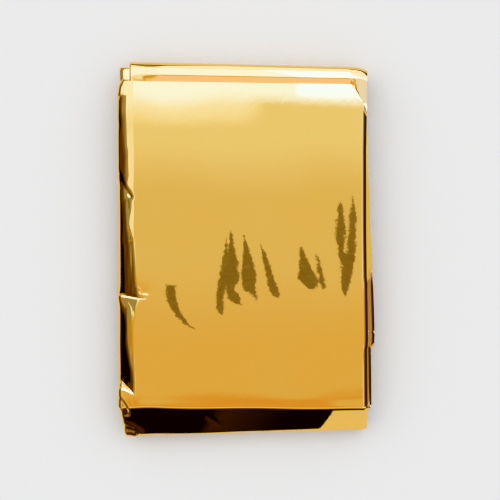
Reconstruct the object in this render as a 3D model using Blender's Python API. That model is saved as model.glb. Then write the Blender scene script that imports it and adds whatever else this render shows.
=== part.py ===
"""An emergency foil blanket as it is carried: one gold film sheet, folded flat to fit a hand.

The packet lies on its back, face up. +X is its right, +Y its top and +Z its face, and the origin is the
middle of its underside. The sheet is one solid. Its section runs back and forth between the packet's two
ends: down the front, under the bottom end, up the back, round the top end as a wide roll, and then to and
fro inside the roll until its inner hem. Each layer here stands for a wad of film, so that it has a
thickness that can be made.
"""

import math
from collections import namedtuple

import bmesh
import bpy

MM = 0.001

# The sizes below are in millimetres.
LAYER = 1.15  # thickness of one wad of film
GAP = 0.45  # air between two layers
PITCH = LAYER + GAP

HEM = 55.6  # the front's upper hem, which crosses the roll
BOTTOM_CREASE = -53.9  # where the front breaks over the bottom end
BOTTOM_END = -62.1  # how far the bottom wrap reaches
BOTTOM_ROUND = 4.2  # radius of the bottom wrap, under its slanted face
ROLL_START = 55.6  # where the roll leaves the flat of the back
ROLL_END = 61.9  # how far the roll reaches

STATION_STEP = 10.0  # spacing of the sections along a layer
FOLD_STEPS = 4  # sections round a tight fold
WRAP_STEPS = 8  # sections round the roll, and round the bottom wrap
SLANT_STEPS = 3  # sections down the slanted face
SHOULDER_SHARES = (0.0, 0.22, 0.46, 0.72)  # places of points across the shoulder, in shares of its width
FACE_SHARES = (0.0, 0.18, 0.36, 0.54, 0.72, 0.87, 0.945, 1.0)  # and from there to the right edge

EDGE_WAVER = 0.16  # how far a layer's edge strays from its line
WAVER_LENGTH = 31.0
WAVER_TURN = 2.4  # turns the waver from one layer to the next

# One row for each layer, in the order in which the sheet runs. turn is where its mid surface turns back.
# left and right are where its side edges lie at its start, halfway and at its end. The front's left edge
# is in SHOULDERS, down to its end.
Layer = namedtuple(
    "Layer", "name level turn left_start left_mid left_end right_start right_mid right_end"
)
LAYERS = (
    Layer("front", 8, BOTTOM_END, None, None, -42.2, 40.0, 40.1, 40.2),
    Layer("back", 0, ROLL_END, -39.6, -42.2, -39.5, 40.2, 42.0, 41.0),
    Layer("second", 7, -53.8, -39.5, -37.2, -37.2, 41.0, 42.3, 41.2),
    Layer("third", 6, 56.2, -38.4, -39.0, -42.2, 41.6, 41.9, 40.2),
    Layer("fourth", 5, -57.3, -42.3, -41.0, -40.4, 40.0, 42.2, 40.9),
    Layer("fifth", 4, 60.4, -41.6, -42.1, -42.2, 41.0, 41.8, 40.0),
    Layer("sixth", 3, -60.1, -42.2, -42.5, -41.5, 40.0, 41.6, 40.7),
    Layer("seventh", 2, 56.2, -41.5, -41.9, -42.0, 40.8, 42.3, 40.6),
    Layer("eighth", 1, -57.5, -42.0, -42.4, -41.0, 40.4, 41.8, 41.5),
)

# The front's left side turns down over the layers under it. One row for each section, from the hem to the
# crease: its left edge, how wide the turned side is there, and how far it drops.
Shoulder = namedtuple("Shoulder", "y edge width drop")
SHOULDERS = (
    Shoulder(HEM, -41.4, 3.4, 0.0),
    Shoulder(52.6, -42.5, 3.4, 0.5),
    Shoulder(50.0, -42.7, 3.4, 4.0),
    Shoulder(44.8, -42.3, 3.6, 5.0),
    Shoulder(33.0, -41.9, 4.2, 5.2),
    Shoulder(17.2, -41.7, 6.2, 5.2),
    Shoulder(13.0, -41.7, 4.6, 5.0),
    Shoulder(4.0, -41.7, 4.8, 5.0),
    Shoulder(-1.5, -41.8, 6.4, 5.3),
    Shoulder(-13.2, -41.8, 6.8, 5.3),
    Shoulder(-15.8, -42.3, 4.8, 3.8),
    Shoulder(-18.6, -42.0, 4.4, 4.9),
    Shoulder(-32.7, -41.7, 4.6, 5.0),
    Shoulder(-44.6, -41.8, 6.6, 5.2),
    Shoulder(-48.8, -41.9, 5.2, 2.6),
    Shoulder(BOTTOM_CREASE, -42.2, 4.8, 1.5),
)
WRAP_DROP = 2.2  # how far the bottom wrap's left end rounds off
SHOULDER_AIR = 2.3  # from the shoulder's mid surface to that of a layer's edge under it
NEAR = 3.2  # a layer's edge minds the shoulder this far along it

# The front's upper right corner is tucked under, from this place on its hem and this far down its edge.
Tuck = namedtuple("Tuck", "start fall fade")
TUCK = Tuck(35.8, 8.0, 34.0)

# A loose pleat of the fourth layer stands out of the right side, and ends in a step.
Pleat = namedtuple("Pleat", "layer top bottom reach ramp step")
PLEAT = Pleat("fourth", -2.0, -32.8, 43.0, 8.0, 0.8)

# The packet was folded a little out of square: how much each line across it leans, as Y per X.
Lean = namedtuple("Lean", "y slope")
LEANS = (Lean(62.5, -0.023), Lean(HEM, -0.016), Lean(BOTTOM_CREASE, -0.004), Lean(-62.5, 0.022))

# Soft highs and lows of the whole packet: where, how far they spread, and by what share the height changes.
Swell = namedtuple("Swell", "x y spread_x spread_y share")
SWELLS = (
    Swell(4.0, 8.0, 30.0, 40.0, 0.035),
    Swell(39.0, 54.0, 7.0, 9.0, -0.050),
    Swell(-38.0, -15.8, 11.0, 3.4, -0.040),
    Swell(36.0, -52.0, 16.0, 12.0, -0.030),
    Swell(-14.0, -24.0, 9.0, 12.0, -0.018),
    Swell(33.0, 2.0, 4.5, 20.0, -0.020),
)

FOIL_COLOUR = (0.83, 0.56, 0.17, 1.0)
FOIL_ROUGHNESS = 0.22

Station = namedtuple("Station", "y z out_y out_z left right width drop")


def clear_scene():
    for old in list(bpy.data.objects):
        bpy.data.objects.remove(old, do_unlink=True)


def height(level):
    """Height of a level's mid surface."""
    return LAYER / 2 + level * PITCH


def eased(share):
    """A share that leaves 0 and reaches 1 gently."""
    share = min(max(share, 0.0), 1.0)
    return share * share * (3 - 2 * share)


def hump(share):
    """0 at both ends of the way and 1 halfway."""
    return 4 * share * (1 - share)


def through(start, middle, end, share):
    """A smooth curve through three values, at a share of the way."""
    from_start = start * (1 - share) * (1 - 2 * share)
    from_end = end * share * (2 * share - 1)
    return from_start + middle * hump(share) + from_end


def read(rows, y, column):
    """A column of a table whose rows run down Y, read between its rows."""
    if y >= rows[0].y:
        return getattr(rows[0], column)
    for above, below in zip(rows, rows[1:]):
        if y >= below.y:
            share = (above.y - y) / (above.y - below.y)
            return getattr(above, column) * (1 - share) + getattr(below, column) * share
    return getattr(rows[-1], column)


def foil_material():
    """Gold metallised film."""
    material = bpy.data.materials.new("gold_film")
    material.use_nodes = True
    shader = material.node_tree.nodes["Principled BSDF"]
    shader.inputs["Base Color"].default_value = FOIL_COLOUR
    shader.inputs["Metallic"].default_value = 1.0
    shader.inputs["Roughness"].default_value = FOIL_ROUGHNESS
    return material


def side_edges(layer, y, share):
    """Where the layer's left and right edges lie at Y, a share of the way along it.

    The left is None where SHOULDERS has it.
    """
    waver = EDGE_WAVER * math.sin(2 * math.pi * y / WAVER_LENGTH + WAVER_TURN * layer.level)
    right = through(layer.right_start, layer.right_mid, layer.right_end, share) - waver
    if layer.name == PLEAT.layer and PLEAT.bottom <= y <= PLEAT.top:
        right += (PLEAT.reach - right) * eased((PLEAT.top - y) / PLEAT.ramp)
    if layer.left_start is None:
        return None, right
    return through(layer.left_start, layer.left_mid, layer.left_end, share) + waver, right


def panel(layer, start, end):
    """Stations along the flat stretch of a layer, from start to end along Y."""
    steps = max(2, round(abs(end - start) / STATION_STEP))
    places = {start + (end - start) * step / steps for step in range(steps + 1)}
    if layer.name == PLEAT.layer:
        places |= {PLEAT.top, PLEAT.top - PLEAT.ramp, PLEAT.bottom, PLEAT.bottom - PLEAT.step}
    found = []
    for y in sorted(places, reverse=end < start):
        left, right = side_edges(layer, y, (y - start) / (end - start))
        found.append(Station(y, height(layer.level), 0.0, 1.0, left, right, 0.0, 0.0))
    return found


def front_panel(layer, start, end):
    """Stations down the front, one for each row of its shoulder and one more in each long space."""
    places = [row.y for row in SHOULDERS]
    spaces = list(zip(places, places[1:]))
    places += [(above + below) / 2 for above, below in spaces if above - below > STATION_STEP]
    found = []
    for y in sorted(places, reverse=True):
        _, right = side_edges(layer, y, (y - start) / (end - start))
        edge, width, drop = (read(SHOULDERS, y, column) for column in ("edge", "width", "drop"))
        found.append(Station(y, height(layer.level), 0.0, 1.0, edge, right, width, drop))
    return found


def arc(layer, following, middle, reach, rise, angles, steps):
    """Stations on part of an ellipse, between a layer and the next. Angles run from +Y towards +Z."""
    start, end = angles
    found = []
    for step in range(1, steps):
        share = step / steps
        angle = start + (end - start) * share
        left = layer.left_end + (following.left_start - layer.left_end) * share
        right = layer.right_end + (following.right_start - layer.right_end) * share
        out_y, out_z = math.cos(angle), math.sin(angle)
        y, z = middle[0] + reach * out_y, middle[1] + rise * out_z
        found.append(Station(y, z, out_y, out_z, left, right, 0.0, 0.0))
    return found


def fold(layer, following):
    """The tight turn from one layer to the following one, at the layer's turn."""
    way = math.copysign(1.0, layer.turn)
    radius = PITCH / 2
    middle = (layer.turn - way * radius, (height(layer.level) + height(following.level)) / 2)
    angles = (math.pi / 2, math.pi / 2 - way * math.pi)
    return arc(layer, following, middle, radius, radius, angles, FOLD_STEPS)


def roll(back, second):
    """The wide turn over the top end, from the back up to the second layer."""
    low, high = height(back.level), height(second.level)
    middle = (ROLL_START, (low + high) / 2)
    reach, rise = ROLL_END - ROLL_START, (high - low) / 2
    return arc(back, second, middle, reach, rise, (-math.pi / 2, math.pi / 2), WRAP_STEPS)


def bottom_wrap(front, back):
    """The slanted face under the bottom crease, and the round that brings the sheet under the packet."""
    middle = (BOTTOM_END + BOTTOM_ROUND, height(back.level) + BOTTOM_ROUND)
    over_y, over_z = BOTTOM_CREASE - middle[0], height(front.level) - middle[1]
    # The slant runs from the crease to where it touches the round.
    touch = math.atan2(over_z, over_y) + math.acos(BOTTOM_ROUND / math.hypot(over_y, over_z))
    out_y, out_z = math.cos(touch), math.sin(touch)
    end_y, end_z = middle[0] + BOTTOM_ROUND * out_y, middle[1] + BOTTOM_ROUND * out_z
    found = []
    for step in range(1, SLANT_STEPS + 1):
        share = step / SLANT_STEPS
        y = BOTTOM_CREASE * (1 - share) + end_y * share
        z = height(front.level) * (1 - share) + end_z * share
        found.append(Station(y, z, out_y, out_z, front.left_end, front.right_end, 0.0, 0.0))
    found += arc(front, back, middle, BOTTOM_ROUND, BOTTOM_ROUND, (touch, 1.5 * math.pi), WRAP_STEPS)
    crease = SHOULDERS[-1]
    rounded = []
    for step, at in enumerate(found, 1):
        share = step / len(found)
        drop = crease.drop * (1 - share) + WRAP_DROP * hump(share)
        rounded.append(at._replace(width=crease.width, drop=drop))
    return rounded


def under_shoulder(at, outside):
    """The station with its left edge drawn in, to clear the turned side of the stations outside."""
    left = at.left
    for cover in outside:
        along = (at.y - cover.y) * cover.out_z - (at.z - cover.z) * cover.out_y
        deep = (cover.y - at.y) * cover.out_y + (cover.z - at.z) * cover.out_z
        if abs(along) < NEAR and deep > 0 and cover.drop > 0:
            room = min(max(deep - SHOULDER_AIR, 0.0) / cover.drop, 1.0)
            left = max(left, cover.left + cover.width * (1 - math.sqrt(room)))
    return at._replace(left=left)


def finely(stations):
    """The same run of stations with two more between each pair."""
    found = []
    for one, other in zip(stations, stations[1:]):
        for share in (0.0, 1 / 3, 2 / 3):
            found.append(Station(*(a * (1 - share) + b * share for a, b in zip(one, other))))
    return found + stations[-1:]


def whole_path():
    """The sheet's stations, from the front's hem to the hem inside."""
    front, back, second = LAYERS[:3]
    outside = front_panel(front, HEM, BOTTOM_CREASE) + bottom_wrap(front, back)
    beneath = panel(back, BOTTOM_END + BOTTOM_ROUND, ROLL_START) + roll(back, second)
    inside = []
    start = ROLL_START
    for layer, following in zip(LAYERS[2:], LAYERS[3:]):
        end = layer.turn - math.copysign(PITCH / 2, layer.turn)
        inside += panel(layer, start, end) + fold(layer, following)
        start = end
    inside += panel(LAYERS[-1], start, LAYERS[-1].turn)
    covers = finely(outside)
    return outside + beneath + [under_shoulder(at, covers) for at in inside]


def columns(at):
    """X of the points across a station, close together over the shoulder."""
    width = at.width or SHOULDERS[0].width
    face = at.left + width
    near = [at.left + width * share for share in SHOULDER_SHARES]
    return near + [face + (at.right - face) * share for share in FACE_SHARES]


def settled(x, y, z):
    """The point once the packet has swelled, slumped and leaned. The back's mid surface stays level."""
    share = 0.0
    for swell in SWELLS:
        across, along = (x - swell.x) / swell.spread_x, (y - swell.y) / swell.spread_y
        share += swell.share * math.exp(-across ** 2 - along ** 2)
    return x, y + x * read(LEANS, y, "slope"), height(0) + (z - height(0)) * (1 + share)


def place(at, column):
    """Where the sheet's mid surface lies at a station and a column.

    A station has a width only on the front and its wrap, whose left side is turned down.
    """
    x = columns(at)[column]
    inward = max(0.0, 1 - (x - at.left) / at.width) if at.width else 0.0
    drop = at.drop * inward ** 2
    y, z = at.y - drop * at.out_y, at.z - drop * at.out_z
    if at.width and x > TUCK.start and y > TUCK.fade:
        share = (x - TUCK.start) / (at.right - TUCK.start)
        y -= TUCK.fall * share * (y - TUCK.fade) / (HEM - TUCK.fade)
    return settled(x, y, z)


def sheet_mesh():
    """The sheet's mid surface, with a row of points for each station."""
    path = whole_path()
    across, along = len(SHOULDER_SHARES) + len(FACE_SHARES) - 1, len(path) - 1
    net = bmesh.new()
    bmesh.ops.create_grid(net, x_segments=across, y_segments=along, size=1.0)
    for point in net.verts:
        column, row = round((point.co.x + 1) / 2 * across), round((point.co.y + 1) / 2 * along)
        point.co = [MM * value for value in place(path[row], column)]
    bmesh.ops.recalc_face_normals(net, faces=net.faces)
    mesh = bpy.data.meshes.new("foil_blanket")
    net.to_mesh(mesh)
    net.free()
    mesh.shade_smooth()
    return mesh


def centre(blanket):
    """Puts the middle of the underside at the origin."""
    bpy.context.view_layer.update()
    shape = blanket.evaluated_get(bpy.context.evaluated_depsgraph_get())
    sides = list(zip(*(corner[:] for corner in shape.bound_box)))
    shift = [(min(side) + max(side)) / 2 for side in sides[:2]] + [min(sides[2])]
    for point in blanket.data.vertices:
        point.co = [value - by for value, by in zip(point.co, shift)]


def foil_blanket():
    """The film sheet, with its thickness."""
    blanket = bpy.data.objects.new("foil_blanket", sheet_mesh())
    bpy.context.scene.collection.objects.link(blanket)
    blanket.data.materials.append(foil_material())
    wall = blanket.modifiers.new("film_thickness", "SOLIDIFY")
    wall.thickness = LAYER * MM
    wall.offset = 0.0
    wall.use_even_offset = True
    centre(blanket)


def main():
    clear_scene()
    foil_blanket()


main()
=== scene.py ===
"""An emergency foil blanket, folded flat to fit a hand: its gold film sheet, and the stage that it lies on.

The packet lies on its back, face up. +X is its right, +Y its top and +Z its face. The film runs back and
forth between the packet's two ends, as its solid does, but each layer of the solid is a wad of two films
here, joined by a round fold along the left side and open along the right.

Run it with blender --background --python scene.py, or from Blender's text editor.
"""

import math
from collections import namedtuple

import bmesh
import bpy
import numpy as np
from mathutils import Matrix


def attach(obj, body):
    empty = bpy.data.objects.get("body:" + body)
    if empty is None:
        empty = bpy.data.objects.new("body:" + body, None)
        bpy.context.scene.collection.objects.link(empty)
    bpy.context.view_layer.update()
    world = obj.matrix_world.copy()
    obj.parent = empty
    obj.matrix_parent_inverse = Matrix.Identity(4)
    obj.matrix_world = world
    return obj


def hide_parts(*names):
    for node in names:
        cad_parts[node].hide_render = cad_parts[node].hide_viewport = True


bl_info = {
    "name": "Emergency foil blanket",
    "version": (1, 0, 0),
    "blender": (4, 5, 0),
    "location": "3D View > Sidebar > Foil blanket",
    "description": "A folded blanket of gold metallised film, and the stage that it lies on",
    "category": "Add Mesh",
}

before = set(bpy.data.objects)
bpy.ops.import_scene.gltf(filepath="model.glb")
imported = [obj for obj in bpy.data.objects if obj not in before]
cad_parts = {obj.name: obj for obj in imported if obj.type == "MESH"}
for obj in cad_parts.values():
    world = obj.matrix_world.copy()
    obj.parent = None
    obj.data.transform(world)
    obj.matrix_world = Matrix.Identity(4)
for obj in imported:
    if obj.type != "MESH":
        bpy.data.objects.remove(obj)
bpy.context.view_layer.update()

MM = 0.001


def named(columns, *rows):
    """A table's rows, with names for their columns."""
    kind = namedtuple("Line", columns)
    return tuple(kind(*row) for row in rows)


# The sizes below are in millimetres. These first ones are the solid's own.
LAYER = 1.15  # thickness of one wad of film
PITCH = 1.6  # from one layer to the next
HEM = 55.6  # the front's upper hem, which crosses the roll
BOTTOM_CREASE = -53.9  # where the front breaks over the bottom end
BOTTOM_END = -62.8  # how far the bottom wrap reaches
ROLL_START = 55.6  # where the roll leaves the flat of the back
ROLL_END = 61.9  # how far the roll reaches
WRAP_DROP = 2.2  # how far the bottom wrap's left end rounds off
SHOULDER_AIR = 2.3  # from the turned side to a layer's edge under it
NEAR = 3.2  # a layer's edge minds the turned side this far along it
TO_FRAME = (0.106, 0.032, 0.0)  # from the sizes here to the frame's origin
EDGE_WAVER = 0.16  # how far a layer's edges waver, over what length, and how much later on each level
WAVER_LENGTH = 31.0
WAVER_TURN = 2.4

# The layers in the order in which the sheet runs through them: which level each lies on, where it turns, and
# where its left and right edges are at its start, its middle and its end. None stands where a table below
# gives the edge instead.
LAYERS = named(
    "name level turn left_start left_mid left_end right_start right_mid right_end",
    ("front", 8, BOTTOM_END, None, None, None, None, None, 41.0),
    ("back", 0, ROLL_END, -39.6, -42.2, -39.5, 40.2, 42.0, 41.0),
    ("second", 7, -53.8, -39.5, -37.2, -37.2, 40.8, None, 42.3),
    ("third", 6, 56.2, -38.4, -39.0, -42.2, 41.6, 41.9, 40.2),
    ("fourth", 5, -57.3, -42.3, -41.0, -40.4, 40.0, 42.2, 40.9),
    ("fifth", 4, 60.4, -41.6, -42.1, -43.2, 41.0, 41.8, 40.0),
    ("sixth", 3, -60.1, -43.2, -42.5, -41.5, 40.0, 41.6, 40.7),
    ("seventh", 2, 56.2, -41.5, -41.9, -42.0, 40.8, 42.3, 40.6),
    ("eighth", 1, -57.5, -42.0, -42.4, -41.0, 40.4, 41.8, 41.5),
)

# The turned side as the layers under it meet it: its edge, and how wide and how deep it rounds off.
SHOULDERS = named(
    "y edge width drop",
    (HEM, -41.4, 3.4, 0.0),
    (52.6, -42.5, 3.4, 0.5),
    (50.0, -42.7, 3.4, 4.0),
    (44.8, -42.3, 3.6, 5.0),
    (33.0, -41.9, 4.2, 5.2),
    (17.2, -41.7, 6.2, 5.2),
    (13.0, -41.7, 4.6, 5.0),
    (4.0, -41.7, 4.8, 5.0),
    (-1.5, -41.8, 6.4, 5.3),
    (-13.2, -41.8, 6.8, 5.3),
    (-15.8, -42.3, 4.8, 3.8),
    (-18.6, -42.0, 4.4, 4.9),
    (-32.7, -41.7, 4.6, 5.0),
    (-44.6, -41.8, 6.6, 5.2),
    (-48.8, -41.9, 5.2, 2.6),
    (BOTTOM_CREASE, -42.2, 4.8, 1.5),
)

# The front's left edge, down it: where its mid line lies, how wide its steep wall is and how deep it goes.
OUTLINE = named(
    "y edge wall deep",
    (HEM, -41.7, 0.3, 0.6),
    (54.0, -42.6, 0.3, 1.2),
    (51.0, -43.1, 0.3, 3.4),
    (50.4, -43.3, 0.35, 4.0),
    (45.3, -43.3, 0.35, 5.0),
    (25.8, -43.3, 0.45, 5.2),
    (19.1, -43.4, 1.0, 5.2),
    (-13.0, -43.3, 1.0, 5.3),
    (-16.4, -43.5, 0.8, 4.4),
    (-20.0, -43.4, 1.0, 5.0),
    (-32.3, -43.3, 0.9, 5.2),
    (-44.0, -42.9, 0.6, 4.6),
    (-48.5, -42.9, 0.45, 2.6),
    (BOTTOM_CREASE, -42.8, 0.45, 1.5),
)

# How the turned side is creased: where its black, brown, olive and pale facets end towards the face, and how
# steep they are in degrees. Each row crosses the side at y, and runs down by skew for each mm inwards.
SIDES = named(
    "y skew black brown olive pale black_tilt brown_tilt olive_tilt pale_tilt",
    (HEM, 0, -41.4, -41.2, -41.0, -37.8, 16, 8, 2.8, 2.6),
    (53.0, 0, -42.5, -42.3, -40.6, -37.8, 20, 9, 2.8, 2.8),
    (50.9, 0, -42.7, -42.4, -40.6, -37.8, 20, 9, 2.8, 2.8),
    (50.6, 0, -42.5, -42.1, -40.6, -37.8, 36, 27, 11, 2.8),
    (46.5, 0, -42.5, -42.1, -40.6, -37.8, 36, 27, 11, 2.8),
    (45.3, 0, -42.7, -42.1, -40.7, -37.8, 35, 26, 11, 2.8),
    (41.9, 0, -42.0, -41.6, -40.6, -37.8, 34, 25, 13, 2.8),
    (39.2, 0, -42.6, -41.8, -40.5, -37.8, 33, 25, 14, 2.8),
    (36.5, 0, -42.7, -41.6, -40.5, -37.8, 33, 25, 14, 2.8),
    (32.5, 0, -42.7, -41.4, -40.3, -37.8, 33, 25, 14, 2.8),
    (31.2, 0, -42.8, -41.2, -39.9, -37.8, 31, 24, 15, 2.8),
    (28.9, 0, -42.7, -41.0, -40.1, -37.8, 31, 24, 14, 2.8),
    (25.8, 0, -42.4, -40.9, -39.8, -37.8, 32, 23, 11, 2.8),
    (23.8, 0, -42.0, -40.8, -39.7, -37.8, 32, 23, 10, 2.8),
    (21.4, 0, -41.9, -40.7, -40.2, -37.8, 32, 23, 12, 2.8),
    (19.1, 0, -42.0, -41.2, -40.3, -37.8, 32, 24, 14, 2.8),
    (16.7, 0, -42.1, -41.0, -39.6, -37.8, 32, 24, 12, 2.8),
    (14.7, 0, -42.0, -40.8, -38.6, -37.8, 33, 24, 11, 2.8),
    (12.4, 0, -41.7, -40.6, -38.8, -37.8, 34, 24, 9, 2.8),
    (9.7, 0, -41.5, -40.5, -39.4, -37.8, 34, 24, 10, 2.8),
    (7.3, 0, -41.4, -40.6, -39.7, -37.8, 34, 22, 14, 2.6),
    (4.9, 0, -41.4, -40.2, -39.0, -37.8, 34, 22, 13, 2.4),
    (2.3, 0, -41.6, -39.8, -37.9, -37.7, 32, 21, 13, 2.0),
    (0.2, 0, -41.2, -39.4, -37.8, -37.7, 34, 21, 14, 0.6),
    (-4.5, 0, -41.2, -39.4, -37.5, -37.4, 34, 21, 15, 0.5),
    (-9.5, 0, -41.0, -39.2, -37.3, -37.2, 34, 22, 17, 0.5),
    (-12.5, 0, -41.0, -38.8, -37.1, -37.0, 34, 22, 18, 1.5),
    (-14.7, 0.15, -41.0, -38.3, -36.4, -36.3, 34, 22, 19, 1.5),
    (-16.33, 0.19, -41.0, -38.0, -35.8, -35.7, 34, 22, 19, 1.5),
    (-16.5, 0.19, -42.9, -42.4, -40.8, -36.2, 28, 18, 4, 7),
    (-18.2, 0.1, -42.8, -42.2, -40.4, -36.6, 30, 20, 7, 7),
    (-20.5, 0, -41.8, -41.2, -39.2, -37.0, 33, 23, 12, 5.5),
    (-23.0, 0, -40.9, -40.3, -38.8, -37.3, 34, 22, 10, 3.5),
    (-26.3, 0, -40.4, -40.0, -38.2, -37.5, 34, 22, 8, 2.0),
    (-32.3, 0, -40.4, -40.0, -38.2, -37.6, 34, 22, 7, 1.0),
    (-34.7, 0, -40.1, -39.6, -38.0, -37.6, 34, 22, 6, 1.0),
    (-37.1, 0, -39.8, -39.2, -37.9, -37.6, 34, 22, 7, 1.0),
    (-39.1, 0, -39.4, -38.9, -37.8, -37.6, 34, 22, 8, 1.0),
    (-41.5, 0, -38.9, -38.3, -37.7, -37.6, 34, 22, 9, 1.0),
    (-43.4, 0.5, -38.8, -37.9, -37.6, -37.5, 33, 23, 12, 1.0),
    (-44.9, 0.95, -40.0, -38.4, -37.7, -37.6, 33, 24, 18, 1.0),
    (-47.9, 0.38, -42.6, -42.5, -42.3, -41.4, 24, 14, 6, 1.0),
    (-51.5, 0, -42.6, -42.5, -42.3, -41.4, 24, 14, 6, 1.0),
    (BOTTOM_CREASE, 0, -42.5, -42.4, -42.2, -41.4, 20, 12, 6, 1.0),
)
SIDE_FOOT = -42.7  # the rows' own place across
SIDE_END = -36.4  # inner end of the strip of fine columns
SIDE_WIDTH = 5.0  # width of that strip on the other layers
FACE_START = -34.5  # from here on, nothing of the turned side is left
WALL_LEAST = 0.6  # the side's steep wall is at least so high

# Sharp creases in the face and the turned side, as grooves along a line: how deep, how wide on the left and
# on the right of the line as it runs, and its points.
CREASES = named(
    "depth left right points",
    (0.3, 0.85, 3.6, ((-42.9, 26.0), (-41.6, 22.0), (-40.5, 19.7), (-39.2, 17.8), (-38.0, 15.8))),
    (0.1, 0.3, 0.3, ((-41.0, 19.2), (-39.5, 17.4), (-38.0, 15.9))),
    (0.1, 0.5, 0.8, ((-41.0, 14.6), (-39.8, 13.2), (-38.6, 12.2))),
    (0.12, 0.5, 0.4, ((-42.5, 2.0), (-41.2, 1.5), (-39.6, 1.6))),
    (0.09, 3.4, 0.45, ((-38.6, -14.2), (-36.0, -15.2), (-32.4, -16.2))),
    (0.05, 0.5, 0.3, ((-39.9, -18.0), (-38.6, -20.0), (-37.4, -22.6))),
    (0.1, 0.5, 0.6, ((-41.8, -40.2), (-40.6, -41.4), (-39.6, -43.2))),
    (0.3, 0.62, 3.8, ((-43.6, -50.0), (-42.2, -51.1), (-41.2, -52.2), (-40.4, -53.4),
                       (-39.9, -54.6), (-39.6, -56.8))),
    (-0.16, 0.6, 0.45, ((-43.0, -57.9), (-41.0, -58.6), (-38.4, -59.8), (-36.6, -61.4), (-35.6, -63.4))),
    (-0.42, 1.6, 1.0, ((-45.0, -61.4), (-41.4, -61.8), (-39.0, -62.3), (-36.6, -62.9))),
    (0.05, 0.5, 0.5, ((-13.6, -56.0), (-11.0, -58.2), (-8.0, -60.8))),
)

CREASE_FADE = 1.5  # how far from its ends a crease has its full depth

# The fine crinkle of the turned side: height, length across and along, start, and how much it sways.
RIPPLES = named(
    "height across along turn bend",
    (0.010, 1.55, 67.0, 0.3, 0.9),
    (0.006, 0.92, -53.0, 1.9, 1.4),
    (0.012, 3.1, 49.0, 4.2, 0.6),
)
RIPPLE_SWAY = 7.0  # the sway's length
FLAT_RIPPLE = 0.12  # share of its height that is left where the side is nearly flat

# The right edges of the front and of the layer under it, whose loose pleat ends in a step.
RIGHT_EDGES = named(
    "y front second",
    (HEM, 40.5, 40.8),
    (45.3, 40.44, 40.84),
    (33.0, 40.31, 41.18),
    (23.0, 40.31, 41.5),
    (16.0, 40.31, 41.8),
    (7.5, 40.31, 42.05),
    (1.0, 40.37, 42.45),
    (-4.0, 40.44, 42.65),
    (-9.5, 40.5, 42.65),
    (-12.0, 40.72, 42.7),
    (-17.0, 40.78, 42.93),
    (-27.9, 40.95, 43.22),
    (-28.4, 40.95, 42.85),
    (-29.0, 40.95, 43.25),
    (-32.6, 40.95, 43.05),
    (-33.1, 40.6, 41.95),
    (-51.0, 40.75, 42.2),
    (-56.0, 40.8, 42.2),
)

# Pairs of numbers here say where something sets in, and how far on from there it takes to be whole.
ROLL_LEFT = (-40.0, 13.0)
CORNER = (33.0, 5.0)
CORNER_FOOT = 46.0  # where the layer in the front's tucked corner starts to rise
CORNER_EDGE = 35.0  # from here on it leans outwards
CORNER_LEAN = 0.06
LEAN_START = (47.0, 3.0)
ROLL_CORNER = 0.9  # how far the roll's right end bends towards the packet's foot
ROLL_BEND = (36.5, 4.5)  # where it does across the packet, and along it
BEND_START = (44.0, 10.0)
WAVE_START = (-37.0, 4.0)  # where the face's soft rolling sets in
CREASE_HEIGHT = (2.0, 2.0)  # the sharp creases are only on the packet's upper side
SHELF_FADE = 0.6  # how gently the crinkle sets in from the wall, grows where it is steep, and ends
STEEP_FADE = 0.8
RIPPLE_END = 2.5
CREASE_FLAT = 3.0  # the front is even so close above its bottom crease
BRIM = 0.85  # width of the strip that is turned down along a layer's right edge
BRIM_SLOPE = 0.59
RIM = 1.0  # width of the flat strip beside it
HEM_BRIM = 0.75  # share of the slope that is lost near the hem
HEM_BRIM_START = (51.5, 1.5)
STRIP_TOP = -7.0  # below here, the layer under the front is turned down a little along its right edge
STRIP_SLOPE = 0.14
STRIP_WIDTH = 2.0
STRIP_FADE = 6.0

# The front's tucked corner: where it starts along the hem, how far the hem falls, and down to where it shows.
TUCK_START, TUCK_FALL, TUCK_FADE = 36.2, 8.0, 34.0
HEM_LIP = 0.25  # how far the hem is turned down there, and over what width
LIP_WIDTH = 0.6
LIP_START = (0.0, 0.2)  # where that starts and ends, as shares of the tucked corner
LIP_END = (0.25, 0.25)
LEANS = named("y slope", (62.5, -0.023), (HEM, -0.016), (BOTTOM_CREASE, -0.004), (-63.0, 0.027))
SWELLS = named(
    "x y spread_x spread_y share",
    (4.0, 8.0, 30.0, 40.0, 0.004),
    (39.0, 54.0, 7.0, 9.0, -0.0008),
    (36.0, -52.0, 16.0, 16.0, -0.004),
)

# The roll stands up behind the hem. How much its upper side tilts down towards the top end, in degrees.
ROLL_TILTS = named(
    "y tilt",
    (54.6, 0), (55.1, -8), (55.6, -12), (57.65, -12), (58.05, 0),
    (59.1, 10), (60.0, 23), (60.8, 40), (61.3, 56), (61.65, 72), (61.9, 87),
)
ROLL_CREST = 58.05
PROFILE_STEP = 0.01
ROLL_ROWS = 44
ROLL_STEPS = 12
UPRIGHTS = (0.0, 0.33, 0.67)  # the rows up the roll's foremost line, as shares of its height

# The bottom wrap.
DROP_TURN_REACH = 4.5  # how gently the turned side follows the sheet round the bottom crease
CREASE_ROUND = 0.3
SLANT = 38.8  # how steep the face under the bottom crease is, in degrees
TOE_ROUND = 0.9
HEEL_ROUND = 3.2
WRAP_LEFT = -41.6  # the left end of the bottom wrap at its toe
TOE_SHARE = 0.6  # how far along the wrap its toe is
CREASE_STEPS = 6
SLANT_ROWS = 16
TOE_STEPS = 6
END_ROWS = 5
HEEL_STEPS = 10
CREASE_BUMPS = named("height x spread", (0.08, -31.5, 4.0), (-0.25, -42, 5.0))
CREASE_SWAY = (0.12, 6.0, 1.26)  # the bottom crease's own wave: height, length and start
CREASE_REACH = 2.5  # how far up the front the crease's wander reaches
WANDER_END = (0.5, 0.4)  # where it fades out along the wrap

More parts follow.
